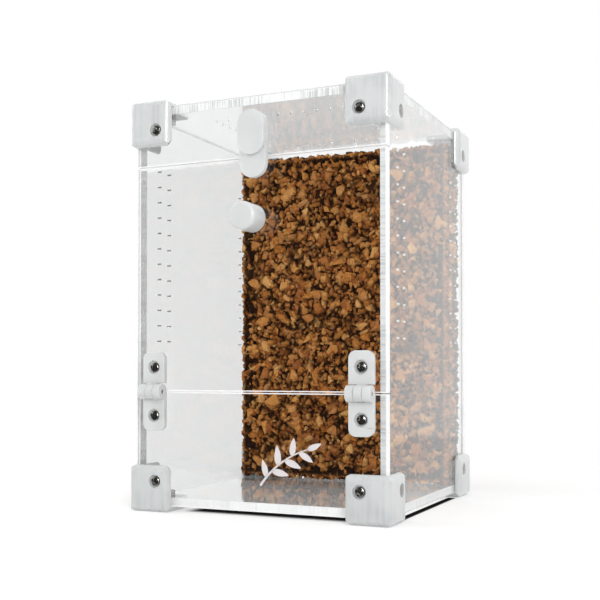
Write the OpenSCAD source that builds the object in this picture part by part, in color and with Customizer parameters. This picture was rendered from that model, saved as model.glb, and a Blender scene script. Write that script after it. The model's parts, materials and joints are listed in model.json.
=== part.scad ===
// Clear pet keeper: an acrylic sheet box held by eight corner caps, with a
// drop-down front door, a turn button and a cork back wall. Millimetres.
// X runs across the front, Y from the front to the back, Z up.

/* [Box] */
// Width across the side panels
panel_width = 200; // [170:1:260]
// Depth from the front panels' face to the back panel's face
panel_depth = 200; // [170:1:260]
// Height of the panels
panel_height = 300; // [270:1:400]
// Thickness of the acrylic sheet
sheet = 6; // [5:0.5:7]

/* [Front] */
// Height of the fixed strip below the door
strip_height = 85; // [74:1:110]
// Height of the fixed fascia above the door
fascia_height = 45; // [40:1:60]
// Gap below and above the door
door_gap = 1; // [0.6:0.1:1.6]

/* [Corners] */
// Wall of a corner cap outside the panels
cap_wall = 4.5; // [4:0.5:6]
// Length of a cap's leg, from its outer corner
cap_leg = 35; // [33:0.5:40]
// Radius of a cap leg's free corners
cap_round = 6.5; // [5:0.5:8]
// Thickness of the corner blocks behind the panels
block_wall = 4; // [3:0.5:6]
// Distance of the corner screws from the panels' edges
screw_inset = 18.5; // [17:0.5:20]

/* [Screws] */
// Radius of the screw shanks
shank_radius = 2; // [1.5:0.25:2.25]
// Radius of the screw heads
head_radius = 3.9; // [3:0.1:4.2]
// Height of the screw heads
head_height = 2.2; // [1.8:0.1:2.4]
// Length of the corner screws under the head
corner_shank = 12; // [11:0.5:13]
// Length of the hinge and pivot screws under the head
short_shank = 12; // [11.5:0.5:13]

/* [Hinges] */
// Width of a hinge
hinge_width = 18.4; // [16:0.2:24]
// Distance from a side panel's face to the middle of its hinge
hinge_inset = 17.3; // [15:0.1:24]
// Length of a hinge leaf, from the pin to its end
leaf_length = 29.5; // [26:0.5:32]
// Thickness of a hinge leaf
leaf_thick = 4; // [3.5:0.25:4.5]
// Distance from the pin to the screw in each leaf
leaf_screw = 18; // [16:0.5:20]
// Radius of the knuckle
knuckle_radius = 5.8; // [5:0.1:6]
// Radius of the hinge pin
pin_radius = 1.5; // [1:0.25:2]

/* [Knob] */
// Radius of the door knob
knob_radius = 10.2; // [8:0.1:13]
// How far the knob stands out from the door
knob_length = 19.5; // [14:0.5:22]
// Distance of the knob below the door's upper edge
knob_drop = 43.5; // [38:0.5:110]
// Distance of the knob to the left of the door's middle
knob_left = 1.5; // [0:0.5:10]

/* [Turn button] */
// Width of the turn button
button_width = 21; // [16:0.5:26]
// Distance from the top of the box's panels down to the pivot
pivot_drop = 25.5; // [22:0.5:28]
// Reach of the button above its pivot
button_up = 13.5; // [11:0.5:15]
// Reach of the button below its pivot, over the door's edge
button_down = 35; // [34:0.5:44]
// Thickness of the lip that holds the door
lip_thick = 4; // [2.5:0.25:4.5]
// Thickness of the button around its pivot
boss_thick = 7.5; // [7:0.25:9]
// Reach of the thick part below the pivot
boss_down = 19; // [13:0.5:24]

/* [Cork and vents] */
// Thickness of the cork wall
cork_thick = 38; // [30:1:44]
// Distance between the coarse lumps of the cork
lump_pitch = 23; // [18:1:30]
// How far the coarse lumps rise from the slab
lump_rise = 4.4; // [3:0.2:5]
// Gap above the cork wall
cork_gap = 4; // [2:0.5:12]
// Radius of a vent hole
vent_radius = 0.75; // [0.5:0.05:1]
// Distance of the vent columns from the box's front and back
vent_columns = [26, 40]; // [26:1:45]
// Holes in a vent column
vent_rows = 12; // [6:1:12]
// Holes along each side of the roof's vent square
vent_square = 11; // [7:1:11]
// Spacing of the roof's vent holes
vent_spacing = 10.6; // [8:0.1:11]

/* [Hidden] */
$fn = 48;
play = 0.3; // gap between a moving piece and its neighbour
running_fit = 0.06; // radial play of a bore that turns on a pin
tapped_fit = 0.02; // radial play of a bore that holds its screw or pin
loose_fit = 0.15; // radial play of a clearance hole
recess_radius = head_radius + 1.1;
recess_depth = head_height + 0.2;
slot_width = 1.1; // cross recess in the screw heads
slot_length = 2 * head_radius - 3;
slot_depth = 1.3;
nut_flats = 7;
nut_height = 3.2;
washer_radius = 4.5;
washer_thick = 1;
cap_edge = 5; // outer edges of a cap
block_margin = 4.5; // from a corner screw's middle to the edge of its block
block_edge = 1.2;
block_round = 4;
knob_rim = 2.5;
knob_fillet = 0.6; // round where the knob meets the door
lump_radius = lump_pitch * 0.42;
lump_root = 3; // depth of a lump inside the slab
lump_drift = 1.2; // sideways wandering of the lumps
lump_tilt = 6; // degrees
lump_droop = lump_radius * sin(lump_tilt) * sqrt(2); // keeps a tilted lump inside the cork
leaf_round = 5.5;

panel_half = panel_width / 2;
cap_half = panel_half + cap_wall;
inside_half = panel_half - sheet;
inside_top = panel_height - sheet;
inside_back = panel_depth - sheet;
front_y = -(panel_depth + cap_wall - knob_length) / 2; // outer face of the front panels
back_y = front_y + panel_depth;
full_height = panel_height + 2 * cap_wall;
cap_screw = screw_inset + cap_wall; // from the cap's outer corner
block_screw = screw_inset - sheet; // from the block's outer corner
block_leg = block_screw + block_margin;

door_low = strip_height + door_gap;
door_high = panel_height - fascia_height - door_gap;
pin_z = strip_height + door_gap / 2;
pin_y = -(knuckle_radius + play + 0.1); // in front of the panels
hinge_half = panel_half - hinge_inset;
knuckle_third = hinge_width / 3;
pin_length = hinge_width - 1;
knob_z = door_high - knob_drop;
pivot_z = panel_height - pivot_drop;
side_low = panel_height * 0.413; // lowest vent hole in the side panels
side_spacing = panel_height * 0.04;
square_half = (vent_square - 1) * vent_spacing / 2;
square_y = panel_depth * 0.47; // middle of the roof's vent square
cork_low = sheet;
cork_high = inside_top - cork_gap;
cork_face = inside_back - cork_thick;

CORNERS = [for (top = [0, 1], back = [0, 1], side = [-1, 1]) [side, back, top]];

// Moves a piece drawn from the front panels' face and underside into place.
module in_box() {
    translate([0, front_y, cap_wall])
        children();
}

// A rectangle with its own radius at each corner, anticlockwise from the origin.
module rounded_outline(size, radii) {
    spots = [[0, 0], [size.x, 0], [size.x, size.y], [0, size.y]];
    difference() {
        square(size);
        for (i = [0:3])
            if (radii[i] > 0)
                translate(spots[i])
                    rotate(90 * i)
                        difference() {
                            translate([-1, -1])
                                square(radii[i] + 1);
                            translate([radii[i], radii[i]])
                                circle(radii[i]);
                        }
    }
}

// Draws its children along X, Y and Z, each out of one face of a corner.
module three_ways() {
    children();
    rotate([90, 0, 90])
        children();
    rotate([0, -90, -90])
        children();
}

module three_outlines(leg, radii) {
    intersection() {
        linear_extrude(leg)
            rounded_outline([leg, leg], radii);
        rotate([90, 0, 90])
            linear_extrude(leg)
                rounded_outline([leg, leg], radii);
        rotate([0, -90, -90])
            linear_extrude(leg)
                rounded_outline([leg, leg], radii);
    }
}

// Stands a corner drawn at the origin in one of the box's eight corners.
module at_corner(corner, inset = 0) {
    translate([
        corner[0] * (cap_half - inset),
        corner[1] ? back_y + cap_wall - inset : front_y - cap_wall + inset,
        corner[2] ? full_height - inset : inset
    ])
        mirror([corner[0] > 0 ? 1 : 0, 0, 0])
            mirror([0, corner[1], 0])
                mirror([0, 0, corner[2]])
                    children();
}

module screw(shank) {
    difference() {
        union() {
            translate([0, 0, -head_height])
                cylinder(r = head_radius, h = head_height);
            cylinder(r = shank_radius, h = shank);
        }
        for (turn = [0, 90])
            rotate(turn)
                translate([-slot_length / 2, -slot_width / 2, -head_height - 1])
                    cube([slot_length, slot_width, slot_depth + 1]);
    }
}

module nut() {
    difference() {
        cylinder(d = nut_flats / cos(30), h = nut_height, $fn = 6);
        translate([0, 0, -1])
            cylinder(r = shank_radius + tapped_fit, h = nut_height + 2);
    }
}

module washer() {
    difference() {
        cylinder(r = washer_radius, h = washer_thick);
        translate([0, 0, -1])
            cylinder(r = shank_radius + tapped_fit, h = washer_thick + 2);
    }
}

// A hole through a plate, with room for the screw head on its outer side.
module recessed_hole(thick) {
    translate([0, 0, -1])
        cylinder(r = shank_radius + loose_fit, h = thick + 2);
    translate([0, 0, -1])
        cylinder(r = recess_radius, h = recess_depth + 1);
}

module clearance_hole() {
    translate([0, 0, -1])
        cylinder(r = shank_radius + loose_fit, h = sheet + 2);
}

// Screw holes near the four corners of a sheet that lies in XY.
module corner_holes(size, inset) {
    for (x = [inset.x, size.x - inset.x], y = [inset.y, size.y - inset.y])
        translate([x, y, 0])
            clearance_hole();
}

// Turns a sheet drawn in XY to stand in XZ, its thickness running back in Y.
module upright() {
    translate([0, sheet, 0])
        rotate([90, 0, 0])
            children();
}

module flat_sheet() {
    size = [2 * inside_half, inside_back - sheet];
    difference() {
        cube([size.x, size.y, sheet]);
        corner_holes(size, [screw_inset - sheet, screw_inset - sheet]);
        children();
    }
}

module floor_panel() {
    color("aliceblue", 0.4)
        in_box()
            translate([-inside_half, sheet, 0])
                flat_sheet();
}

module vent_hole() {
    translate([0, 0, -1])
        cylinder(r = vent_radius, h = sheet + 2, $fn = 16);
}

module roof_panel() {
    last = vent_square - 1;
    color("aliceblue", 0.4)
        in_box()
            translate([-inside_half, sheet, inside_top])
                flat_sheet()
                    translate([inside_half - square_half, square_y - square_half - sheet, 0])
                        for (i = [0:last], j = [0:last])
                            if (i == 0 || j == 0 || i == last || j == last)
                                translate([i * vent_spacing, j * vent_spacing, 0])
                                    vent_hole();
}

// Side panel with its inner face towards +X, from the front panels to the back one.
module side_sheet() {
    size = [inside_back - sheet, panel_height];
    translate([0, sheet, 0])
        rotate([90, 0, 90])
            difference() {
                cube([size.x, size.y, sheet]);
                corner_holes(size, [screw_inset - sheet, screw_inset]);
                for (column = vent_columns, y = [column - sheet, size.x - column + sheet])
                    for (row = [0:vent_rows - 1])
                        translate([y, side_low + row * side_spacing, 0])
                            vent_hole();
            }
}

module left_panel() {
    color("aliceblue", 0.4)
        in_box()
            translate([-panel_half, 0, 0])
                side_sheet();
}

module right_panel() {
    color("aliceblue", 0.4)
        in_box()
            translate([inside_half, 0, 0])
                side_sheet();
}

module back_panel() {
    color("aliceblue", 0.4)
        in_box()
            translate([-panel_half, inside_back, 0])
                upright()
                    difference() {
                        cube([panel_width, panel_height, sheet]);
                        corner_holes([panel_width, panel_height], [screw_inset, screw_inset]);
                    }
}

module front_strip() {
    color("aliceblue", 0.4)
        in_box()
            translate([-panel_half, 0, 0])
                upright()
                    difference() {
                        cube([panel_width, strip_height, sheet]);
                        for (x = [screw_inset, panel_width - screw_inset])
                            translate([x, screw_inset, 0])
                                clearance_hole();
                        for (x = [hinge_inset, panel_width - hinge_inset])
                            translate([x, pin_z - leaf_screw, 0])
                                clearance_hole();
                    }
}

module front_fascia() {
    low = panel_height - fascia_height;
    color("aliceblue", 0.4)
        in_box()
            translate([-panel_half, 0, low])
                upright()
                    difference() {
                        cube([panel_width, fascia_height, sheet]);
                        for (x = [screw_inset, panel_width - screw_inset])
                            translate([x, fascia_height - screw_inset, 0])
                                clearance_hole();
                        translate([panel_half, pivot_z - low, -1])
                            cylinder(r = shank_radius + running_fit, h = sheet + 2);
                    }
}

module door_panel() {
    color("aliceblue", 0.4)
        in_box()
            translate([-panel_half, 0, door_low])
                upright()
                    difference() {
                        cube([panel_width, door_high - door_low, sheet]);
                        for (x = [hinge_inset, panel_width - hinge_inset])
                            translate([x, pin_z + leaf_screw - door_low, 0])
                                clearance_hole();
                        translate([panel_half - knob_left, knob_z - door_low, 0])
                            clearance_hole();
                    }
}

// Outer cap of a corner: three walls that wrap the panels from outside.
module corner_cap() {
    color("white", 0.8)
        difference() {
            three_outlines(cap_leg, [cap_edge, cap_round, cap_round, cap_round]);
            translate([cap_wall, cap_wall, cap_wall])
                cube(cap_leg);
            three_ways()
                translate([cap_screw, cap_screw, 0])
                    recessed_hole(cap_wall);
        }
}

// Inner block of a corner: three tapped walls that the screws draw against the panels.
module corner_block() {
    color("white", 0.8)
        difference() {
            three_outlines(block_leg, [block_edge, block_edge, block_round, block_edge]);
            translate([block_wall, block_wall, block_wall])
                cube(block_leg);
            three_ways()
                translate([block_screw, block_screw, -1])
                    cylinder(r = shank_radius + tapped_fit, h = block_wall + 2);
        }
}

module cap_at(corner) {
    at_corner(corner)
        corner_cap();
}

module block_at(corner) {
    at_corner(corner, cap_wall + sheet)
        corner_block();
}

module corner_screws() {
    color("silver")
        for (corner = CORNERS)
            at_corner(corner)
                three_ways()
                    translate([cap_screw, cap_screw, recess_depth])
                        screw(corner_shank);
}

// Hinge leaf drawn above its pin, with the pin along X through the origin and the panel
// behind it. ends is true for the leaf that has the two outer knuckles.
module hinge_leaf(ends) {
    face = -pin_y;
    sides = [-hinge_width / 2, -knuckle_third / 2, knuckle_third / 2, hinge_width / 2];
    own = ends ? [[sides[0], sides[1] - play], [sides[2] + play, sides[3]]] : [[sides[1], sides[2]]];
    far = knuckle_radius + play;
    difference() {
        union() {
            translate([-hinge_width / 2, face, far])
                rotate([90, 0, 0])
                    linear_extrude(leaf_thick)
                        rounded_outline([hinge_width, leaf_length - far], [0, 0, leaf_round, leaf_round]);
            for (span = own)
                translate([span[0], 0, 0]) {
                    rotate([0, 90, 0])
                        cylinder(r = knuckle_radius, h = span[1] - span[0]);
                    translate([0, face - leaf_thick, door_gap / 2])
                        cube([span[1] - span[0], leaf_thick, far]);
                }
        }
        translate([-hinge_width, 0, 0])
            rotate([0, 90, 0])
                cylinder(r = pin_radius + (ends ? tapped_fit : running_fit), h = 2 * hinge_width);
        translate([0, face - leaf_thick, leaf_screw])
            rotate([-90, 0, 0])
                recessed_hole(leaf_thick);
    }
}

module at_hinge(side) {
    in_box()
        translate([side * hinge_half, pin_y, pin_z])
            children();
}

module strip_leaf(side) {
    color("whitesmoke")
        at_hinge(side)
            mirror([0, 0, 1])
                hinge_leaf(true);
}

module door_leaf(side) {
    color("whitesmoke")
        at_hinge(side)
            hinge_leaf(false);
}

module hinge_pin(side) {
    color("silver")
        at_hinge(side)
            translate([-pin_length / 2, 0, 0])
                rotate([0, 90, 0])
                    cylinder(r = pin_radius, h = pin_length);
}

// Places for the leaf screws at the height z, pointing back into the box.
module at_leaf_screws(z) {
    in_box()
        for (side = [-1, 1])
            translate([side * hinge_half, recess_depth - leaf_thick, z])
                rotate([-90, 0, 0])
                    children();
}

module at_leaf_nuts(z) {
    in_box()
        for (side = [-1, 1])
            translate([side * hinge_half, sheet, z])
                rotate([-90, 0, 0])
                    children();
}

module strip_leaf_screws() {
    color("silver")
        at_leaf_screws(pin_z - leaf_screw)
            screw(short_shank);
}

module door_leaf_screws() {
    color("silver")
        at_leaf_screws(pin_z + leaf_screw)
            screw(short_shank);
}

module strip_leaf_nuts() {
    color("silver")
        at_leaf_nuts(pin_z - leaf_screw)
            nut();
}

module door_leaf_nuts() {
    color("silver")
        at_leaf_nuts(pin_z + leaf_screw)
            nut();
}

// Stands a screw, washer or knob on the inner face of a front panel, pointing forward.
module inside_front(x, z, back = 0) {
    in_box()
        translate([x, sheet + back, z])
            rotate([90, 0, 0])
                children();
}

module door_knob() {
    color("whitesmoke")
        inside_front(-knob_left, knob_z, -sheet)
            difference() {
                rotate_extrude()
                    rounded_outline([knob_radius, knob_length], [0, knob_fillet, knob_rim, 0]);
                translate([0, 0, -1])
                    cylinder(r = shank_radius + tapped_fit, h = short_shank - sheet + 1);
            }
}

module knob_screw() {
    color("silver")
        inside_front(-knob_left, knob_z, washer_thick)
            screw(short_shank);
}

module knob_washer() {
    color("silver")
        inside_front(-knob_left, knob_z, washer_thick)
            washer();
}

// Turn button drawn with its pivot at the origin, its back at z = 0 and its lip towards -Y.
module button_outline(down) {
    round = button_width / 2;
    translate([-round, -down])
        rounded_outline([button_width, button_up + down], [round, round, round, round]);
}

module turn_button() {
    color("whitesmoke")
        inside_front(0, pivot_z, -sheet - play)
            difference() {
                union() {
                    linear_extrude(lip_thick)
                        button_outline(button_down);
                    linear_extrude(boss_thick)
                        button_outline(boss_down);
                }
                translate([0, 0, -1])
                    cylinder(r = shank_radius + tapped_fit, h = short_shank - sheet);
            }
}

module button_screw() {
    color("silver")
        inside_front(0, pivot_z, washer_thick + play)
            screw(short_shank);
}

module button_washer() {
    color("silver")
        inside_front(0, pivot_z, washer_thick + play)
            washer();
}

// Coarse lumps over a face of the cork that lies in XY, rising along Z.
module cork_lumps(size) {
    columns = floor(size.x / lump_pitch);
    rows = floor(size.y / lump_pitch);
    for (i = [0:columns - 1], j = [0:rows - 1])
        translate([
            size.x / 2 + (i - (columns - 1) / 2) * lump_pitch + lump_drift * sin(97 * i + 61 * j),
            size.y / 2 + (j - (rows - 1) / 2) * lump_pitch + lump_drift * cos(53 * i + 89 * j),
            -lump_root
        ])
            rotate([lump_tilt * sin(71 * i + 113 * j), lump_tilt * cos(67 * i + 101 * j), 41 * i + 59 * j])
                cylinder(r = lump_radius, h = lump_root + lump_rise - lump_droop, $fn = 5 + (i + 2 * j) % 3);
}

// Cork slab against the back panel, lumpy on both faces and notched round the back blocks.
module cork_wall() {
    notch = block_leg + play;
    face = [2 * inside_half, cork_high - cork_low];
    color("peru")
        in_box()
            difference() {
                union() {
                    translate([-inside_half, cork_face + lump_rise, cork_low])
                        cube([face.x, cork_thick - 2 * lump_rise, face.y]);
                    translate([-inside_half, cork_face + lump_rise, cork_low])
                        rotate([90, 0, 0])
                            cork_lumps(face);
                    translate([inside_half, inside_back - lump_rise, cork_low])
                        rotate([90, 0, 180])
                            cork_lumps(face);
                }
                for (side = [-1, 1], z = [cork_low, inside_top])
                    translate([side * inside_half, inside_back, z])
                        cube(2 * notch, center = true);
            }
}

floor_panel();  // floor-panel
roof_panel();  // roof-panel
left_panel();  // left-panel
right_panel();  // right-panel
back_panel();  // back-panel
front_strip();  // front-strip
front_fascia();  // front-fascia
door_panel();  // door-panel
cap_at(CORNERS[0]);  // cap-low-front-left
cap_at(CORNERS[1]);  // cap-low-front-right
cap_at(CORNERS[2]);  // cap-low-back-left
cap_at(CORNERS[3]);  // cap-low-back-right
cap_at(CORNERS[4]);  // cap-high-front-left
cap_at(CORNERS[5]);  // cap-high-front-right
cap_at(CORNERS[6]);  // cap-high-back-left
cap_at(CORNERS[7]);  // cap-high-back-right
block_at(CORNERS[0]);  // block-low-front-left
block_at(CORNERS[1]);  // block-low-front-right
block_at(CORNERS[2]);  // block-low-back-left
block_at(CORNERS[3]);  // block-low-back-right
block_at(CORNERS[4]);  // block-high-front-left
block_at(CORNERS[5]);  // block-high-front-right
block_at(CORNERS[6]);  // block-high-back-left
block_at(CORNERS[7]);  // block-high-back-right
corner_screws();  // corner-screws
strip_leaf(-1);  // strip-leaf-left
strip_leaf(1);  // strip-leaf-right
door_leaf(-1);  // door-leaf-left
door_leaf(1);  // door-leaf-right
hinge_pin(-1);  // hinge-pin-left
hinge_pin(1);  // hinge-pin-right
strip_leaf_screws();  // strip-leaf-screws
door_leaf_screws();  // door-leaf-screws
strip_leaf_nuts();  // strip-leaf-nuts
door_leaf_nuts();  // door-leaf-nuts
door_knob();  // door-knob
knob_screw();  // knob-screw
knob_washer();  // knob-washer
turn_button();  // turn-button
button_screw();  // button-screw
button_washer();  // button-washer
cork_wall();  // cork-wall
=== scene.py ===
import bpy
import bmesh
import json
import math
import random
from mathutils import Matrix, Vector, noise


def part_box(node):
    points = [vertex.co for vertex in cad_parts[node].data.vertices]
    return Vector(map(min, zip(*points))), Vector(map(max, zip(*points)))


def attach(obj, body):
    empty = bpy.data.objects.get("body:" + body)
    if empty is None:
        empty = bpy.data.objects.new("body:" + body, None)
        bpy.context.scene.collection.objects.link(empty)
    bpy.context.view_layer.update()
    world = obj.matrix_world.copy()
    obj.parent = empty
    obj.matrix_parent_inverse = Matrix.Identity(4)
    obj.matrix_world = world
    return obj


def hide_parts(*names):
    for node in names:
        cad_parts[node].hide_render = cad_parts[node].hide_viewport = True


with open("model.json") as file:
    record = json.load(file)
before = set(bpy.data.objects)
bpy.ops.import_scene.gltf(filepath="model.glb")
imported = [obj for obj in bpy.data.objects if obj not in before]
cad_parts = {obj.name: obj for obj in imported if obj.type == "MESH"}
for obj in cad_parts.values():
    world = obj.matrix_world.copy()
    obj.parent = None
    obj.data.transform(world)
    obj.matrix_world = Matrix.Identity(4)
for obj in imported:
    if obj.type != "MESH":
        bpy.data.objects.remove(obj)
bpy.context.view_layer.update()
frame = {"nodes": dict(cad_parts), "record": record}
nodes = frame["nodes"]
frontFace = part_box("front-strip")[0].y
bodyOf = {node: body for body, held in frame["record"]["behaviour"]["bodies"].items() for node in held}
print("frame loaded:", len(nodes), "nodes")

scene = bpy.context.scene
scene.view_settings.view_transform = "Standard"

# low and to the right of the door, looking almost level
shot = {
    "place": (0.3258, frontFace - 0.64285, 0.1065),
    "turn": (math.pi / 2 + 0.0172, 0.0, 0.4241),
    "lens": 60.2,
    "shiftUp": 0.0868,
    "nearest": 0.01,
    "farthest": 20,
}
lens = bpy.data.cameras.new("camera")
lens.lens = shot["lens"]
lens.shift_y = shot["shiftUp"]
lens.clip_start = shot["nearest"]
lens.clip_end = shot["farthest"]
camera = bpy.data.objects.new("camera", lens)
camera.location = shot["place"]
camera.rotation_euler = shot["turn"]
scene.collection.objects.link(camera)
scene.camera = camera
print("camera placed")


# a shader socket that can be written in a sum
class Socket:
    def __init__(self, graph, out):
        self.graph, self.out = graph, out

    def calc(self, operation, first, second):
        return self.graph.node("ShaderNodeMath", {"operation": operation}, {0: first, 1: second})

    def __add__(self, other):
        return self.calc("ADD", self, other)

    def __sub__(self, other):
        return self.calc("SUBTRACT", self, other)

    def __rsub__(self, other):
        return self.calc("SUBTRACT", other, self)

    def __mul__(self, other):
        return self.calc("MULTIPLY", self, other)

    def __gt__(self, other):
        return self.calc("GREATER_THAN", self, other)

    __radd__ = __add__
    __rmul__ = __mul__


class Graph:
    def __init__(self, owner):
        owner.use_nodes = True
        self.owner, self.tree = owner, owner.node_tree
        self.tree.nodes.clear()

    # settings come first, then each input gets its value or its link
    def node(self, kind, settings=None, inputs=None, out=0):
        made = self.tree.nodes.new(kind)
        for key, value in (settings or {}).items():
            if key == "stops":
                stops = made.color_ramp.elements
                stops.remove(stops[1])
                stops[0].position, stops[0].color = value[0][0], (*value[0][1], 1)
                for place, colour in value[1:]:
                    stops.new(place).color = (*colour, 1)
            else:
                setattr(made, key, value)
        for key, value in (inputs or {}).items():
            if isinstance(value, Socket):
                self.tree.links.new(value.out, made.inputs[key])
            else:
                made.inputs[key].default_value = value
        return Socket(self, made.outputs[out])

    # place on the object, in metres
    def place(self):
        return self.node("ShaderNodeTexCoord", out="Object")

    def note(self, key):
        return self.node("ShaderNodeAttribute", {"attribute_name": key}, out="Fac")

    def axis(self, vector, way):
        return self.node("ShaderNodeSeparateXYZ", None, {0: vector}, way)

    def size(self, value):
        return self.node("ShaderNodeMath", {"operation": "ABSOLUTE"}, {0: value})

    def larger(self, first, second):
        return self.node("ShaderNodeMath", {"operation": "MAXIMUM"}, {0: first, 1: second})

    def rayIs(self, kind):
        return self.node("ShaderNodeLightPath", out=kind)

    # 1 once a ray has been scattered, mirrored or bent
    def rayWas(self, depth):
        return self.node("ShaderNodeLightPath", out=depth) > 0.5

    # goes smoothly from before to after while the value goes from start to stop
    def ramp(self, value, start, stop, before, after):
        limits = {0: value, 1: start, 2: stop, 3: before, 4: after}
        return self.node("ShaderNodeMapRange", {"interpolation_type": "SMOOTHSTEP"}, limits)

    # noise between 0 and 1; with a small stretch its grains are long that way
    def grain(self, place, scale, detail, roughness, stretch=(1, 1, 1)):
        stretched = self.node("ShaderNodeMapping", None, {"Vector": place, "Scale": stretch})
        looks = {"Vector": stretched, "Scale": scale, "Detail": detail, "Roughness": roughness}
        return self.node("ShaderNodeTexNoise", None, looks)

    def blend(self, share, first, second):
        return self.node("ShaderNodeMix", {"data_type": "RGBA"}, {0: share, 6: first, 7: second}, 2)

    def bump(self, height, strength, distance):
        looks = {"Strength": strength, "Distance": distance, "Height": height}
        return self.node("ShaderNodeBump", None, looks)

    def surface(self, looks):
        return self.node("ShaderNodeBsdfPrincipled", None, looks)

    def glow(self, strength):
        return self.node("ShaderNodeEmission", None, {"Color": (1, 1, 1, 1), "Strength": strength})

    def mixed(self, share, first, second):
        return self.node("ShaderNodeMixShader", None, {0: share, 1: first, 2: second})

    # the rays of this share go straight through, tinted
    def letThrough(self, share, shader, tint):
        return self.mixed(share, shader, self.node("ShaderNodeBsdfTransparent", None, {"Color": tint}))

    def end(self, shader, kind="ShaderNodeOutputMaterial"):
        last = self.tree.nodes.new(kind)
        self.tree.links.new(shader.out, last.inputs["Surface"])
        return self.owner


def newGraph(name):
    return Graph(bpy.data.materials.new(name))


# white room, dark on the side that the front sheets mirror, so that they stay clear
room = {
    "level": 0.8,  # light on matt surfaces
    "sheen": 1.15,  # what glossy surfaces reflect
    "dimSide": (-0.35, -0.93, 0.1),
    "dimLevel": 0.02,
    "dimFrom": 0.2,
    "dimTo": 0.62,
}


def lightRoom():
    world = bpy.data.worlds.new("room")
    scene.world = world
    graph = Graph(world)
    scattered = graph.rayWas("Diffuse Depth")
    mirrored = graph.rayWas("Glossy Depth")
    ways = {0: graph.node("ShaderNodeTexCoord", out="Generated"), 1: room["dimSide"]}
    facing = graph.node("ShaderNodeVectorMath", {"operation": "DOT_PRODUCT"}, ways, "Value")
    dim = graph.ramp(facing, room["dimFrom"], room["dimTo"], room["sheen"], room["dimLevel"])
    seen = (1 - mirrored) + mirrored * dim
    strength = (1 - scattered) * seen + scattered * room["level"]
    white = graph.node("ShaderNodeBackground", None, {"Color": (1, 1, 1, 1), "Strength": strength})
    graph.end(white, "ShaderNodeOutputWorld")


# lamp: place, target, width and watts
lamps = {
    "keyLamp": ((1.3, -1.9, 0.95), (0, 0, 0.12), 0.7, 24),
    "leftLamp": ((-1.5, -0.7, 0.9), (0, 0, 0.15), 1.0, 4),
}


def addLamp(name, place, target, width, power):
    lamp = bpy.data.lights.new(name, "AREA")
    lamp.shape = "DISK"
    lamp.size, lamp.energy = width, power
    held = bpy.data.objects.new(name, lamp)
    held.location = place
    held.rotation_euler = (Vector(target) - Vector(place)).to_track_quat("-Z", "Y").to_euler()
    scene.collection.objects.link(held)


lightRoom()
for lampName, values in lamps.items():
    addLamp(lampName, *values)
print("room lit")


# the finished mesh as an object: smooth is the angle up to which its edges look round
def makeObject(name, mesh, smooth=0):
    data = bpy.data.meshes.new(name)
    mesh.to_mesh(data)
    mesh.free()
    piece = bpy.data.objects.new(name, data)
    scene.collection.objects.link(piece)
    if smooth == 180:
        data.shade_smooth()
    elif smooth:
        data.set_sharp_from_angle(angle=math.radians(smooth))
    return piece


# pale round table that runs into the white room
table = {
    "radius": 0.85,
    "steps": 96,  # around its rim
    "drop": 0.0001,  # just clear of the feet
    "pale": (0.97, 0.97, 0.97, 1),
    "dark": (0.95, 0.95, 0.95, 1),
    "cloud": (40.0, 4.0, 0.5),  # noise: scale, detail, roughness
    "rough": 0.8,
    "glow": 0.14,
    "fadeFrom": 0.2,
    "fadeTo": 0.42,
    # painted shadow in the gaps under the keeper: where it begins, is full and ends, inwards from the edge
    "shade": (0.01, 0.01, 0.01, 1),
    "frontGap": (0.005, 0.018, 0.034),
    "sideGap": (-0.002, 0.001, 0.006),
    "frontStart": 0.014,  # how far along the edge the painted shadow takes to build up
    "sideStart": 0.03,
    # ahead of the front sheets it is dark to whatever mirrors it
    "aheadNone": 0.005,
    "aheadFull": 0.03,
    "aheadGlow": 0.03,
}


# painted shadow under an edge: it deepens from near to full and ends at far
def underEdge(graph, way, edge, inward, gap):
    near, full, far = gap
    depth = (way - edge) * inward
    return graph.ramp(depth, near, full, 0.0, 1.0) * (1 - (depth > far))


# painted shadow on the table under the front and right edges, left out where it is seen through the sheets
def paintedGapShadow(graph, across, deep):
    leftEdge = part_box("cap-low-front-left")[1].x
    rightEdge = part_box("cap-low-front-right")[0].x
    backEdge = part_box("cap-low-back-right")[0].y
    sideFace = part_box("right-panel")[1].x
    front = underEdge(graph, deep, frontFace, 1, table["frontGap"])
    front = front * graph.ramp(across, leftEdge, leftEdge + table["frontStart"], 0.0, 1.0)
    front = front * (1 - (across > rightEdge))
    side = underEdge(graph, across, sideFace, -1, table["sideGap"])
    side = side * graph.ramp(deep, frontFace, frontFace + table["sideStart"], 0.0, 1.0)
    side = side * (1 - (deep > backEdge))
    return graph.larger(front, side) * (1 - graph.rayWas("Transmission Depth"))


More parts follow.
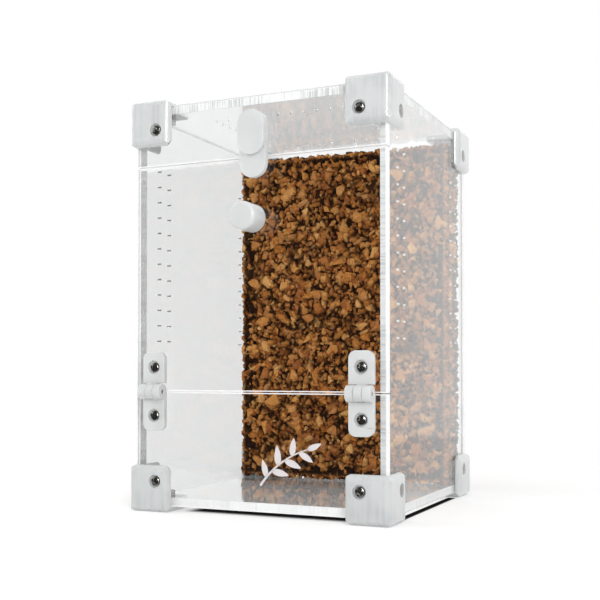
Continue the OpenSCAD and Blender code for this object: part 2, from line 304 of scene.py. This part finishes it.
def layTable():
    mesh = bmesh.new()
    bmesh.ops.create_circle(mesh, cap_ends=True, segments=table["steps"], radius=table["radius"])
    bmesh.ops.translate(mesh, verts=mesh.verts, vec=(0, 0, -table["drop"]))
    top = makeObject("paleTable", mesh)
    graph = newGraph("paleTable")
    place = graph.place()
    across, deep = graph.axis(place, 0), graph.axis(place, 1)
    paintedShadow = paintedGapShadow(graph, across, deep)
    unscattered = 1 - graph.rayWas("Diffuse Depth")
    tone = graph.blend(graph.grain(place, *table["cloud"]), table["dark"], table["pale"])
    # the painted shadow darkens the table's colour and takes away its glow
    surface = graph.surface({
        "Base Color": graph.blend(paintedShadow, tone, table["shade"]),
        "Roughness": table["rough"],
        "Specular IOR Level": 0.0,
        "Emission Color": (1, 1, 1, 1),
        "Emission Strength": unscattered * table["glow"] * (1 - paintedShadow),
    })
    distance = graph.node("ShaderNodeVectorMath", {"operation": "LENGTH"}, {0: place}, "Value")
    faded = graph.ramp(distance, table["fadeFrom"], table["fadeTo"], 0.0, 1.0) * unscattered
    surface = graph.mixed(faded, surface, graph.glow(1.0))
    ahead = graph.ramp(deep, frontFace - table["aheadFull"], frontFace - table["aheadNone"], 1.0, 0.0)
    ahead = ahead * graph.rayWas("Glossy Depth")
    surface = graph.mixed(ahead, surface, graph.glow(table["aheadGlow"]))
    top.data.materials.append(graph.end(surface))


layTable()
print("table laid")

# clear acrylic sheet with sawn edges
acrylic = {
    "tint": (0.975, 0.983, 0.985, 1),
    "lampTint": (0.96, 0.963, 0.963, 1),
    "flatFrom": 0.7,  # how straight along the thin axis a large face points
    # noises: scale, detail, roughness
    "haze": (30.0, 5.0, 0.6),
    "saw": (900.0, 2.0, 0.6),
    "patches": (45.0, 2.0, 0.5),
    "hazeFrom": 0.62,
    "hazeRough": 0.008,
    "ventMargin": 0.003,  # edges this far inside the outline are the walls of vents
    "arris": 0.0007,  # width of the pale line along the outline
    "arrisShare": 0.7,
    "edgeThrough": 0.12,
    "edgeRough": 0.3,
    "sawRough": 0.3,
    "sawStretch": 0.05,
    "sawRelief": (0.3, 0.0002),  # strength and depth
    "patchShare": 0.5,
    "teethFrom": 0.5,
    "teethTo": 0.85,
}

# sheet: thin axis, how clear its vent walls and its sawn edges are, dark and pale tone of the saw marks,
# index of refraction
# the lower saw-mark tones of the left, right and roof sheets are painted shade on their edges
sheets = {
    "left-panel": (0, 0.8, 0.85, 0.6, 0.85, 1.49),
    "right-panel": (0, 0.0, 0.5, 0.55, 0.8, 1.49),
    "back-panel": (1, 0.5, 0.0, 0.8, 0.95, 1.49),
    "front-strip": (1, 0.5, 0.0, 0.85, 0.97, 1.49),
    "front-fascia": (1, 0.5, 0.0, 0.85, 0.97, 1.49),
    "door-panel": (1, 0.5, 0.0, 0.85, 0.97, 1.49),
    "floor-panel": (2, 0.5, 0.0, 0.85, 0.97, 1.49),
    "roof-panel": (2, 0.8, 0.1, 0.62, 0.95, 1.33),
}


# 1 where a face lies further than the margin inside the outline of a sheet, as the walls of its vents do
def withinSheet(graph, place, node, thinAxis, margin):
    low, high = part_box(node)
    inside = 1
    for axis in (way for way in range(3) if way != thinAxis):
        far = graph.size(graph.axis(place, axis) - (low[axis] + high[axis]) / 2)
        inside = (1 - (far > (high[axis] - low[axis]) / 2 - margin)) * inside
    return inside


def clearSheet(node, thinAxis, ventClear, edgeClear, edgeDark, edgePale, index):
    graph = newGraph(node + "-sheet")
    place = graph.place()
    facing = graph.axis(graph.node("ShaderNodeTexCoord", out="Normal"), thinAxis)
    flat = graph.size(facing) > acrylic["flatFrom"]
    vents = withinSheet(graph, place, node, thinAxis, acrylic["ventMargin"])
    edge = (1 - flat) * (1 - edgeClear - vents * (ventClear - edgeClear))
    arris = (1 - withinSheet(graph, place, node, thinAxis, acrylic["arris"])) * flat
    haze = graph.grain(place, *acrylic["haze"])
    glass = graph.surface({
        "Base Color": acrylic["tint"],
        "Roughness": (haze > acrylic["hazeFrom"]) * acrylic["hazeRough"],
        "Transmission Weight": 1.0,
        "IOR": index,
    })
    stretch = tuple(acrylic["sawStretch"] if axis == thinAxis else 1 for axis in range(3))
    sawn = graph.grain(place, *acrylic["saw"], stretch)
    patches = graph.grain(place, *acrylic["patches"])
    marks = sawn + patches * acrylic["patchShare"]
    teeth = graph.ramp(marks, acrylic["teethFrom"], acrylic["teethTo"], 0.0, 1.0)
    cut = graph.surface({
        "Base Color": graph.blend(teeth, (*[edgeDark] * 3, 1), (*[edgePale] * 3, 1)),
        "Roughness": acrylic["edgeRough"] + sawn * acrylic["sawRough"],
        "Normal": graph.bump(sawn, *acrylic["sawRelief"]),
        "Transmission Weight": acrylic["edgeThrough"],
        "IOR": index,
    })
    sheet = graph.mixed(edge + arris * acrylic["arrisShare"], glass, cut)
    # light that falls on what is inside goes straight through
    straight = graph.larger(graph.rayIs("Is Shadow Ray"), graph.rayIs("Is Diffuse Ray"))
    return graph.end(graph.letThrough(straight, sheet, acrylic["lampTint"]))


# frosted moulded plastic of the caps, blocks, hinges, knob and button
frost = {
    "pale": (0.65, 0.665, 0.665, 1),
    "deep": (0.52, 0.535, 0.54, 1),
    "lampTint": (0.6, 0.6, 0.6, 1),
    # noises: scale, detail, roughness
    "cloud": (45.0, 4.0, 0.55),
    "pebble": (1900.0, 2.0, 0.6),
    "rib": (520.0, 1.0, 0.4, (1, 1, 0.03)),  # the ribs run upright
    "ribFrom": 0.35,
    "ribTo": 0.75,
    "ribShade": 0.35,
    "cloudTo": 0.6,
    "rough": 0.14,
    "pebbleRough": 0.04,
    "cloudRough": 0.04,
    "pebbleHeight": 0.03,
    "relief": (0.06, 0.0001),  # strength and depth
    "index": 1.46,
    "specular": 0.5,
    "coat": 0.25,
    "coatRough": 0.08,
    "depth": 0.6,  # light that wanders below the face
    "depthScale": 0.004,
    "sheen": 0.25,
    "sheenRough": 0.4,
    # share of light let through, strength of the ribs, share of white (on the blocks painted light against
    # their shade), gloss
    "caps": (0.15, 0.6, 0.0, 1.0),
    "blocks": (0.8, 0.0, 0.85, 0.0),
    "fittings": (0.22, 0.0, 0.14, 1.0),
}


def frostedPlastic(name, through, ribbed, white, gloss):
    graph = newGraph(name)
    place = graph.place()
    cloud = graph.grain(place, *frost["cloud"])
    pebble = graph.grain(place, *frost["pebble"])
    ribs = graph.grain(place, *frost["rib"])
    streak = graph.ramp(ribs, frost["ribFrom"], frost["ribTo"], 0.0, ribbed)
    cloudy = graph.ramp(cloud - streak * frost["ribShade"], 0.0, frost["cloudTo"], 0.0, 1.0)
    colour = graph.blend(cloudy, frost["deep"], frost["pale"])
    plastic = graph.surface({
        # white mixed into the colour; on the blocks it is painted light
        "Base Color": graph.blend(white, colour, (1, 1, 1, 1)),
        "Roughness": frost["rough"] + pebble * frost["pebbleRough"] + cloud * frost["cloudRough"],
        "Normal": graph.bump(pebble * frost["pebbleHeight"] + streak, *frost["relief"]),
        "Transmission Weight": through,
        "IOR": frost["index"],
        "Specular IOR Level": frost["specular"] * gloss,
        "Coat Weight": frost["coat"] * gloss,
        "Coat Roughness": frost["coatRough"],
        "Subsurface Weight": frost["depth"] * gloss,
        "Subsurface Radius": (1, 1, 1),
        "Subsurface Scale": frost["depthScale"],
        "Sheen Weight": frost["sheen"],
        "Sheen Roughness": frost["sheenRough"],
    })
    return graph.end(graph.letThrough(graph.rayIs("Is Shadow Ray"), plastic, frost["lampTint"]))


# turned and stamped steel of the screws, nuts, washers and pins
steel = {
    "bright": (0.56, 0.55, 0.52, 1),
    "worn": (0.15, 0.14, 0.125, 1),
    # noises: scale, detail, roughness
    "cloud": (350.0, 4.0, 0.6),
    "scratch": (900.0, 3.0, 0.7, (1, 1, 6)),
    "rough": 0.13,
    "cloudRough": 0.12,
    "scratchRough": 0.06,
    "relief": (0.15, 0.00005),  # strength and depth
}


def screwSteel():
    graph = newGraph("screwSteel")
    place = graph.place()
    cloud = graph.grain(place, *steel["cloud"])
    scratch = graph.grain(place, *steel["scratch"])
    return graph.end(graph.surface({
        "Base Color": graph.blend(cloud, steel["worn"], steel["bright"]),
        "Metallic": 1.0,
        "Roughness": steel["rough"] + cloud * steel["cloudRough"] + scratch * steel["scratchRough"],
        "Normal": graph.bump(scratch, *steel["relief"]),
    }))


def dress(material, names):
    for name in names:
        nodes[name].data.materials.clear()
        nodes[name].data.materials.append(material)


def isSteel(name):
    return name.startswith("hinge-pin") or name.split("-")[-1] in ("screw", "screws", "nuts", "washer")


for sheet, looks in sheets.items():
    dress(clearSheet(sheet, *looks), [sheet])
caps = [name for name in nodes if name.startswith("cap-")]
blocks = [name for name in nodes if name.startswith("block-")]
dress(frostedPlastic("frostedCaps", *frost["caps"]), caps)
dress(frostedPlastic("frostedBlocks", *frost["blocks"]), blocks)
fittingPlastic = frostedPlastic("frostedFittings", *frost["fittings"])
brightSteel = screwSteel()
dress(brightSteel, [name for name in nodes if isSteel(name)])
print("sheets, caps and screws dressed")


# a new piece that stands for a CAD node and moves with its body
def standIn(piece, node, material):
    piece.data.materials.clear()
    piece.data.materials.append(material)
    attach(piece, bodyOf[node])
    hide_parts(node)


# moulded fittings with softened edges: node, new piece, radius of its edges, steps in that radius
fittings = (
    ("strip-leaf-left", "stripLeafLeft", 0.0009, 3),
    ("strip-leaf-right", "stripLeafRight", 0.0009, 3),
    ("door-leaf-left", "doorLeafLeft", 0.0009, 3),
    ("door-leaf-right", "doorLeafRight", 0.0009, 3),
    ("turn-button", "turnButton", 0.0017, 5),
    ("door-knob", "doorKnob", 0.0005, 2),
)
# weld distance, then angles in degrees: what is flat, what looks round, what gets a radius
softening = {
    "weld": 1e-6,
    "flat": 0.6,
    "smooth": 30,
    "corner": 32,
}


def softenFitting(node, name, radius, steps):
    shape = bmesh.new()
    shape.from_mesh(nodes[node].data)
    bmesh.ops.remove_doubles(shape, verts=shape.verts, dist=softening["weld"])
    flat = math.radians(softening["flat"])
    bmesh.ops.dissolve_limit(shape, angle_limit=flat, verts=shape.verts, edges=shape.edges)
    piece = makeObject(name, shape, softening["smooth"])
    bevel = piece.modifiers.new("softEdges", "BEVEL")
    bevel.width, bevel.segments = radius, steps
    bevel.limit_method, bevel.angle_limit = "ANGLE", math.radians(softening["corner"])
    bevel.harden_normals = True
    standIn(piece, node, fittingPlastic)


for fitting in fittings:
    softenFitting(*fitting)
print("hinges, knob and button rounded")

# pan head screw, with its head's underside at the origin and its crown towards -Z
# the crown's faces over the cross recess are kept, so the head looks plain from outside
screw = {
    "head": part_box("knob-screw")[1].x / 2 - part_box("knob-screw")[0].x / 2,
    "rise": 0.0022,
    "crown": 0.3,  # share of the rise that the crown loses towards its rim
    "shank": 0.002,
    "length": 0.012,
    "tipRise": 0.0004,
    "tipShare": 0.8,
    "lines": (-0.0026, -0.0021, -0.00048, 0.00048, 0.0021, 0.0026),  # grid about the cross
    "crossDepth": 0.0014,
    "crossTaper": 0.72,
    # shares of the head's radius and rise
    "rings": ((0.93, -0.62), (1.0, -0.28), (1.0, -0.05), (0.97, 0.0)),
    "cornerInset": 0.023,  # from the caps' outline to the screw's middle
    "cornerSunk": 0.0024,  # from the caps' face to the head's underside
    "leafStand": 0.0016,  # from the front face to the head's underside
    "turn": 1.57,  # the most that a cross is turned by
    "seed": 5,
}


def freshVerts(made):
    return [part for part in made["geom"] if isinstance(part, bmesh.types.BMVert)]


# empties one mesh into the other
def pour(batch, whole):
    mesh = bpy.data.meshes.new("batch")
    batch.to_mesh(mesh)
    batch.free()
    whole.from_mesh(mesh)
    bpy.data.meshes.remove(mesh)


def panHeadScrew():
    shape = bmesh.new()
    lines, head, rise = screw["lines"], screw["head"], screw["rise"]
    shank, length = screw["shank"], screw["length"]
    last = len(lines) - 1
    bmesh.ops.create_grid(shape, x_segments=last, y_segments=last, size=1)
    for vert in shape.verts:
        x, y = (lines[round((place + 1) / 2 * last)] for place in vert.co.xy)
        vert.co = (x, y, -rise * (1 - screw["crown"] * (x * x + y * y) / head**2))
    arm, half = lines[4], lines[3]
    cross = []
    for face in shape.faces:
        x, y = map(abs, face.calc_center_median().xy)
        if max(x, y) < arm and min(x, y) < half:
            cross.append(face)
    taper = screw["crossTaper"]
    for vert in freshVerts(bmesh.ops.extrude_face_region(shape, geom=cross)):
        vert.co = (vert.co.x * taper, vert.co.y * taper, vert.co.z + screw["crossDepth"])
    rings = [(head * wide, rise * up) for wide, up in screw["rings"]]
    rings += [(shank, 0), (shank, length - screw["tipRise"]), (shank * screw["tipShare"], length)]
    for radius, height in rings:
        rim = [edge for edge in shape.edges if edge.is_boundary]
        for vert in freshVerts(bmesh.ops.extrude_edge_only(shape, edges=rim)):
            way = vert.co.xy.normalized() * radius
            vert.co = (way.x, way.y, height)
    bmesh.ops.holes_fill(shape, edges=[edge for edge in shape.edges if edge.is_boundary], sides=0)
    bmesh.ops.recalc_face_normals(shape, faces=shape.faces)
    mesh = bpy.data.meshes.new("panHeadScrew")
    shape.to_mesh(mesh)
    shape.free()
    return mesh


# puts a screw at each place, pointing along the way that goes with it
def driveScrews(node, name, spots):
    dice = random.Random(screw["seed"])
    pattern = panHeadScrew()
    whole = bmesh.new()
    for place, way in spots:
        one = bmesh.new()
        one.from_mesh(pattern)
        aim = Vector((0, 0, 1)).rotation_difference(Vector(way)).to_matrix().to_4x4()
        turn = Matrix.Rotation(dice.uniform(0, screw["turn"]), 4, "Z")
        bmesh.ops.transform(one, matrix=Matrix.Translation(place) @ aim @ turn, verts=one.verts)
        pour(one, whole)
    bpy.data.meshes.remove(pattern)
    piece = makeObject(name, whole, 180)
    rounded = piece.modifiers.new("rounded", "SUBSURF")
    rounded.levels = rounded.render_levels = 1
    standIn(piece, node, brightSteel)


# three screws at each corner, one along each axis
def cornerSpots():
    low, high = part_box("cap-low-front-left")[0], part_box("cap-high-back-right")[1]
    spots = []
    for corner in range(8):
        top = [bool(corner >> way & 1) for way in range(3)]
        for way in range(3):
            place, aim = Vector((0, 0, 0)), Vector((0, 0, 0))
            for axis in range(3):
                inward = screw["cornerSunk"] if axis == way else screw["cornerInset"]
                place[axis] = high[axis] - inward if top[axis] else low[axis] + inward
            aim[way] = -1 if top[way] else 1
            spots.append((place, aim))
    return spots


def leafSpots(node):
    low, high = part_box(node)
    ends = (low.x + screw["head"], high.x - screw["head"])
    return [(Vector((x, frontFace - screw["leafStand"], (low.z + high.z) / 2)), (0, 1, 0)) for x in ends]


driveScrews("corner-screws", "cornerScrews", cornerSpots())
driveScrews("strip-leaf-screws", "stripLeafScrews", leafSpots("strip-leaf-screws"))
driveScrews("door-leaf-screws", "doorLeafScrews", leafSpots("door-leaf-screws"))
print("screws driven")

# white sprig etched on the front strip
sprig = {
    "start": (0.0045, 0.0235),  # x and z of the stem's foot
    "length": 0.047,
    "rise": 0.62,  # heading in radians at its middle
    "bend": -0.35,  # what the heading gains from there to the tip
    "proud": 0.00012,
    "stem": 0.0008,  # half its width
    "stemFoot": 1.1,  # share of that at its foot
    "stemTaper": 0.7,  # share lost by its tip
    "stemSteps": 24,
    "leaves": 7,
    "leaf": (0.0145, 0.0052),  # length and width of a leaf at largestAt
    "leafSteps": (10, 2),  # along it and across it
    "leafPeak": 0.8,  # powers that move and fill the leaf's widest part
    "leafFill": 0.8,
    "leafCurl": 0.25,  # share of its width that the tip bends aside
    "leafTurn": 0.85,  # radians off the stem
    "firstLeaf": 0.16,  # share of the stem below the leaves
    "leafReach": 0.8,  # share that they take up
    "largestAt": 0.45,
    "shrink": 0.35,  # what leaves lose away from there
    "pale": (0.94, 0.9, 0.9, 1),
    "dark": (0.78, 0.74, 0.74, 1),
    "frosting": (1500.0, 3.0, 0.6),  # noise: scale, detail, roughness
    "rough": 0.55,
    "frostingRough": 0.3,
    "relief": (0.3, 0.0001),  # strength and depth
    "cover": 0.78,
    "frostingCover": 0.2,
    "through": 0.3,
    "index": 1.49,
}


# place and heading at a share of the stem
def alongStem(share):
    heading = sprig["rise"] + sprig["bend"] * (share - 0.5) * 2
    middle = sprig["rise"] + sprig["bend"] * (share / 2 - 0.5) * 2
    x, z = sprig["start"]
    place = Vector((0, 0, 0))
    place.x = x + math.cos(middle) * sprig["length"] * share
    place.y = z + math.sin(middle) * sprig["length"] * share
    return place, heading


def leafBlade(length, width):
    blade = bmesh.new()
    along, aside = sprig["leafSteps"]
    bmesh.ops.create_grid(blade, x_segments=along, y_segments=aside, size=0.5)
    for vert in blade.verts:
        share = vert.co.x + 0.5
        swell = math.sin(math.pi * share ** sprig["leafPeak"]) ** sprig["leafFill"]
        side = vert.co.y * width * swell + width * sprig["leafCurl"] * share**2
        vert.co = (share * length, side, 0)
    return blade


def sprigStem():
    stem = bmesh.new()
    bmesh.ops.create_grid(stem, x_segments=sprig["stemSteps"], y_segments=1, size=0.5)
    for vert in stem.verts:
        share = vert.co.x + 0.5
        place, heading = alongStem(share)
        side = Vector((-math.sin(heading), math.cos(heading), 0))
        wide = sprig["stemFoot"] - share * sprig["stemTaper"]
        vert.co = place + side * vert.co.y * 2 * sprig["stem"] * wide
    return stem


# the leaves take turns left and right, and the last one points ahead
def sprigLeaf(number):
    last = sprig["leaves"] - 1
    share = sprig["firstLeaf"] + sprig["leafReach"] * number / last
    place, heading = alongStem(share)
    side = 0 if number == last else (-1) ** number
    size = 1.0 - sprig["shrink"] * abs(share - sprig["largestAt"])
    blade = leafBlade(sprig["leaf"][0] * size, sprig["leaf"][1] * size)
    turn = Matrix.Rotation(heading + side * sprig["leafTurn"], 4, "Z")
    turn = turn @ Matrix.Diagonal((1, side or 1, 1, 1))
    bmesh.ops.transform(blade, matrix=Matrix.Translation(place) @ turn, verts=blade.verts)
    return blade


def etchedWhite():
    graph = newGraph("etchedWhite")
    frosting = graph.grain(graph.place(), *sprig["frosting"])
    return graph.end(graph.surface({
        "Base Color": graph.blend(frosting, sprig["dark"], sprig["pale"]),
        "Roughness": sprig["rough"] + frosting * sprig["frostingRough"],
        "Normal": graph.bump(frosting, *sprig["relief"]),
        "Alpha": sprig["cover"] + frosting * sprig["frostingCover"],
        "Transmission Weight": sprig["through"],
        "IOR": sprig["index"],
    }))


def etchSprig():
    whole = bmesh.new()
    pour(sprigStem(), whole)
    for number in range(sprig["leaves"]):
        pour(sprigLeaf(number), whole)
    bmesh.ops.recalc_face_normals(whole, faces=whole.faces)
    raised = freshVerts(bmesh.ops.extrude_face_region(whole, geom=whole.faces[:]))
    bmesh.ops.translate(whole, verts=raised, vec=(0, 0, sprig["proud"]))
    upright = Matrix.Translation((0, frontFace, 0)) @ Matrix.Rotation(math.pi / 2, 4, "X")
    bmesh.ops.transform(whole, matrix=upright, verts=whole.verts)
    bmesh.ops.recalc_face_normals(whole, faces=whole.faces)
    piece = makeObject("etchedSprig", whole)
    piece.data.materials.append(etchedWhite())
    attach(piece, bodyOf["front-strip"])


etchSprig()
print("sprig etched")

# pressed cork wall: a core painted dark as shade, covered in broken granules
cork = {
    "low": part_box("cork-wall")[0] + Vector((1, 1, 1)) * 0.0002,  # just within its solid
    "high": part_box("cork-wall")[1] - Vector((1, 1, 1)) * 0.0002,
    "notch": 0.0176,
    "seed": 11,
    # granule shapes: how many, their corners, how far these lie from the middle, how flat they are pressed
    "shapes": 24,
    "corners": 12,
    "cornerReach": (0.4, 0.55),
    "pressDeep": (0.55, 0.95),
    "pressHigh": (0.45, 0.85),
    # size, spacing, share left out, how much deeper they lie, tone
    "grades": (
        (0.0205, 0.0142, 0.1, -0.0013, 0.56),
        (0.014, 0.0088, 0.06, 0.0, 0.48),
        (0.0086, 0.0052, 0.04, 0.0012, 0.4),
        (0.0068, 0.0042, 0.0, 0.0016, 0.34),
    ),
    "widths": (0.65, 1.2),
    "stray": 0.55,  # off its place, in spacings
    "sink": (0.36, 0.5),  # below the face, in widths
    "scatter": 0.0014,  # the most that chance adds to the depth
    "swell": 0.0012,  # coarse unevenness of the face
    "swellPitch": 0.023,
    "wallRoom": 0.38,  # kept from the outline and from the notches, in widths
    "notchRoom": 0.4,
    "fullTurn": 6.283,
    "toneSpread": 0.26,
    "toneLimits": (0.1, 0.9),
    "rustPower": 1.3,
    "gapDepth": 0.0058,  # depth at which the painted shade in the gaps is full black
    "rimShade": 0.54,  # painted shade around the foot of each granule
    "rimShadeFade": 1.9,  # how fast that fades with height
    "batch": 1500,  # corners gathered before they join the face
}


# what each granule tells its paint: tone, rust and painted shade
def addNotes(mesh):
    return [mesh.verts.layers.float.new(key) for key in ("tone", "rust", "sunk")]


# one broken granule, about 1 m across until it is scaled to its width
def breakGranule(dice):
    lump = bmesh.new()
    for _ in range(cork["corners"]):
        way = Vector([dice.gauss(0, 1) for _ in range(3)]).normalized()
        lump.verts.new(way * dice.uniform(*cork["cornerReach"]))
    bmesh.ops.convex_hull(lump, input=lump.verts)
    loose = [vert for vert in lump.verts if not vert.link_faces]
    bmesh.ops.delete(lump, geom=loose, context="VERTS")
    press = (1, dice.uniform(*cork["pressDeep"]), dice.uniform(*cork["pressHigh"]))
    bmesh.ops.scale(lump, vec=press, verts=lump.verts)
    bmesh.ops.recalc_face_normals(lump, faces=lump.faces)
    mesh = bpy.data.meshes.new("granule")
    lump.to_mesh(mesh)
    lump.free()
    return mesh


def inNotch(point, reach):
    low, high, notch = cork["low"], cork["high"], cork["notch"]
    side = abs(point.x) > high[0] - notch - reach
    back = point.y > high[1] - notch - reach
    end = point.z < low[2] + notch + reach or point.z > high[2] - notch - reach
    return side and back and end


# the nearest point that lies at least the margin inside the wall's outline
def withinWall(point, margin):
    limits = zip(cork["low"], cork["high"], point)
    return Vector(max(low + margin, min(high - margin, place)) for low, high, place in limits)


def tumble(dice):
    turns = [Matrix.Rotation(dice.uniform(0, cork["fullTurn"]), 4, way) for way in "XYZ"]
    return turns[0] @ turns[1] @ turns[2]


# covers one face of the wall: across and up span it, out points away from it
def coverFace(name, start, across, up, out, dice, shapes):
    whole, batch = bmesh.new(), bmesh.new()
    addNotes(whole)
    layers = addNotes(batch)
    stray = cork["stray"]
    darkest, palest = cork["toneLimits"]
    for size, spacing, left, deeper, shade in cork["grades"]:
        columns = max(1, round(across.length / spacing))
        rows = max(1, round(up.length / spacing))
        for spot in range(columns * rows):
            if dice.random() < left:
                continue
            width = size * dice.uniform(*cork["widths"])
            column = (spot % columns + 0.5 + dice.uniform(-stray, stray)) / columns
            row = (spot // columns + 0.5 + dice.uniform(-stray, stray)) / rows
            share = Vector((column, row))
            centre = start + across * share.x + up * share.y
            swell = cork["swell"] * (0.5 + noise.noise(centre / cork["swellPitch"]))
            sink = width * dice.uniform(*cork["sink"])
            centre -= out * (sink + swell + dice.uniform(0, cork["scatter"]) + deeper)
            centre = withinWall(centre, width * cork["wallRoom"])
            if inNotch(centre, width * cork["notchRoom"]):
                continue
            count = len(batch.verts)
            batch.from_mesh(dice.choice(shapes))
            batch.verts.ensure_lookup_table()
            fresh = batch.verts[count:]
            setting = Matrix.Translation(centre) @ tumble(dice) @ Matrix.Scale(width, 4)
            bmesh.ops.transform(batch, matrix=setting, verts=fresh)
            tone = min(palest, max(darkest, dice.gauss(shade, cork["toneSpread"])))
            rust = dice.random() ** cork["rustPower"]
            for vert in fresh:
                vert.co = withinWall(vert.co, 0)
                # painted shade: darker the deeper a corner lies below the face, and around the foot of
                # each granule
                rise = (vert.co - centre).dot(out) / width
                depth = (start - vert.co).dot(out) / cork["gapDepth"]
                sunk = min(1, max(0, depth, cork["rimShade"] - rise * cork["rimShadeFade"]))
                for layer, value in zip(layers, (tone, rust, sunk)):
                    vert[layer] = value
            if len(batch.verts) > cork["batch"]:
                pour(batch, whole)
                batch = bmesh.new()
                layers = addNotes(batch)
    pour(batch, whole)
    return makeObject(name, whole)


bark = {
    # from black, where the core's painted shade takes it, over dark bark to pale broken faces
    "stops": (
        (0.08, (0.016, 0.005, 0.001)),
        (0.26, (0.12, 0.034, 0.004)),
        (0.42, (0.4, 0.14, 0.025)),
        (0.58, (0.55, 0.235, 0.055)),
        (0.76, (0.66, 0.335, 0.1)),
        (0.95, (0.8, 0.48, 0.18)),
    ),
    "rust": (0.33, 0.105, 0.045, 1),
    "rustShare": 0.55,
    "pit": (0.02, 0.007, 0.002, 1),
    "pitSize": 0.34,
    "pitFrom": 0.5,
    "pitShare": 0.5,
    # painted shade for the gaps and the granules' feet: its colour, where it starts and how full it gets
    "gap": (0.008, 0.0025, 0.0008, 1),
    "gapFrom": 0.45,
    "gapTo": 1.02,
    "gapShare": 0.98,
    # noises: scale, detail, roughness
    "mottle": (420.0, 5.0, 0.7),
    "crumb": (1300.0, 3.0, 0.65),
    "poreScale": 780.0,
    # shares of the granule's tone, the mottle and the crumbs, and what is taken off their sum
    "tones": (0.64, 0.95, 0.45),
    "lower": 0.425,
    # heights of the crumbs, the mottle and the pores, then the strength and depth of all
    "heights": (0.7, 0.9, 0.25),
    "relief": (1.0, 0.0009),
    "rough": 0.75,
    "crumbRough": 0.22,
    "specular": 0.08,
    # painted shade that lowers the core's tone
    "coreShade": 0.12,
}


def corkPaint(name, shadeOffset):
    graph = newGraph(name)
    place = graph.place()
    tone, rust, sunk = (graph.note(key) for key in ("tone", "rust", "sunk"))
    mottle = graph.grain(place, *bark["mottle"])
    crumb = graph.grain(place, *bark["crumb"])
    cells = {"Vector": place, "Scale": bark["poreScale"]}
    pores = graph.node("ShaderNodeTexVoronoi", {"feature": "F1"}, cells, "Distance")
    own, mottled, crumbled = bark["tones"]
    shade = tone * own + mottle * mottled + crumb * crumbled - bark["lower"] - shadeOffset
    colour = graph.node("ShaderNodeValToRGB", {"stops": bark["stops"]}, {0: shade})
    colour = graph.blend(rust * bark["rustShare"], colour, bark["rust"])
    pits = (bark["pitSize"] - pores > 0.0) * (mottle > bark["pitFrom"]) * bark["pitShare"]
    colour = graph.blend(pits, colour, bark["pit"])
    # painted shade darkens the gaps and the feet of the granules
    gaps = graph.ramp(sunk, bark["gapFrom"], bark["gapTo"], 0.0, bark["gapShare"])
    crumbHigh, mottleHigh, poreHigh = bark["heights"]
    height = crumb * crumbHigh + mottle * mottleHigh + pores * poreHigh
    return graph.end(graph.surface({
        "Base Color": graph.blend(gaps, colour, bark["gap"]),
        "Roughness": bark["rough"] + crumb * bark["crumbRough"],
        "Normal": graph.bump(height, *bark["relief"]),
        "Specular IOR Level": bark["specular"],
    }))


# the core behind the granules, nearly all in painted shade
core = {
    "depth": 0.0065,  # below the wall's outline
    "step": 0.0019,
    "crumb": 0.0044,
    "lift": 0.0012,
    "fall": 1.5,  # how far the lift drops towards the edges of a crumb
    "ripple": 0.0008,
    "ripples": 160,
    "tone": (0.5, 0.45),
    "sunk": 0.95,
    "toneCells": 7.3,
    "rustCells": 3.1,
    "notchGap": 0.0004,
}


# crumbly core that keeps out of the four corner notches
def corkCore():
    inward = Vector((1, 1, 1)) * core["depth"]
    low, high = cork["low"] + inward, cork["high"] - inward
    span = high - low
    block = bmesh.new()
    setting = Matrix.Translation((high + low) / 2) @ Matrix.Diagonal((*span, 1))
    bmesh.ops.create_cube(block, size=1, matrix=setting)
    for way in range(3):
        count = round(span[way] / core["step"])
        across = [1 if axis == way else 0 for axis in range(3)]
        for cut in range(1, count):
            place = Vector((0, 0, 0))
            place[way] = low[way] + span[way] * cut / count
            whole = block.verts[:] + block.edges[:] + block.faces[:]
            bmesh.ops.bisect_plane(block, geom=whole, plane_co=place, plane_no=across)
    tones, rusts, shadeNotes = addNotes(block)
    block.normal_update()
    middle, spread = core["tone"]
    for vert in block.verts:
        gaps, spots = noise.voronoi(vert.co / core["crumb"])
        vert[tones] = middle + spread * noise.cell(spots[0] * core["toneCells"])
        vert[rusts] = abs(noise.cell(spots[0] * core["rustCells"])) ** 2
        vert[shadeNotes] = core["sunk"]
        ripple = core["ripple"] * noise.noise(vert.co * core["ripples"])
        vert.co += vert.normal * (core["lift"] * (1 - core["fall"] * gaps[0]) + ripple)
        if vert.co.y > high.y - cork["notch"] and inNotch(vert.co, 0.0):
            vert.co.y = cork["high"][1] - cork["notch"] - core["notchGap"]
    return makeObject("corkCore", block)


def buildCork():
    dice = random.Random(cork["seed"])
    shapes = [breakGranule(dice) for _ in range(cork["shapes"])]
    low, high = cork["low"], cork["high"]
    wide = Vector((high.x - low.x, 0, 0))
    deep = Vector((0, high.y - low.y, 0))
    tall = Vector((0, 0, high.z - low.z))
    faces = (
        ("corkFront", low, wide, tall, Vector((0, -1, 0))),
        ("corkBack", Vector((low.x, high.y, low.z)), wide, tall, Vector((0, 1, 0))),
        ("corkLeft", low, deep, tall, Vector((-1, 0, 0))),
        ("corkRight", Vector((high.x, low.y, low.z)), deep, tall, Vector((1, 0, 0))),
        ("corkTop", Vector((low.x, low.y, high.z)), wide, deep, Vector((0, 0, 1))),
        ("corkBottom", low, wide, deep, Vector((0, 0, -1))),
    )
    paint = corkPaint("corkGranules", 0.0)
    pieces = [coverFace(*face, dice, shapes) for face in faces]
    for piece in pieces:
        piece.data.materials.append(paint)
    middle = corkCore()
    middle.data.materials.append(corkPaint("corkCore", bark["coreShade"]))
    for piece in pieces + [middle]:
        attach(piece, "box")
        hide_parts("cork-wall")
        print(piece.name, len(piece.data.polygons), "faces")
    for mesh in shapes:
        bpy.data.meshes.remove(mesh)


buildCork()
print("cork wall built")
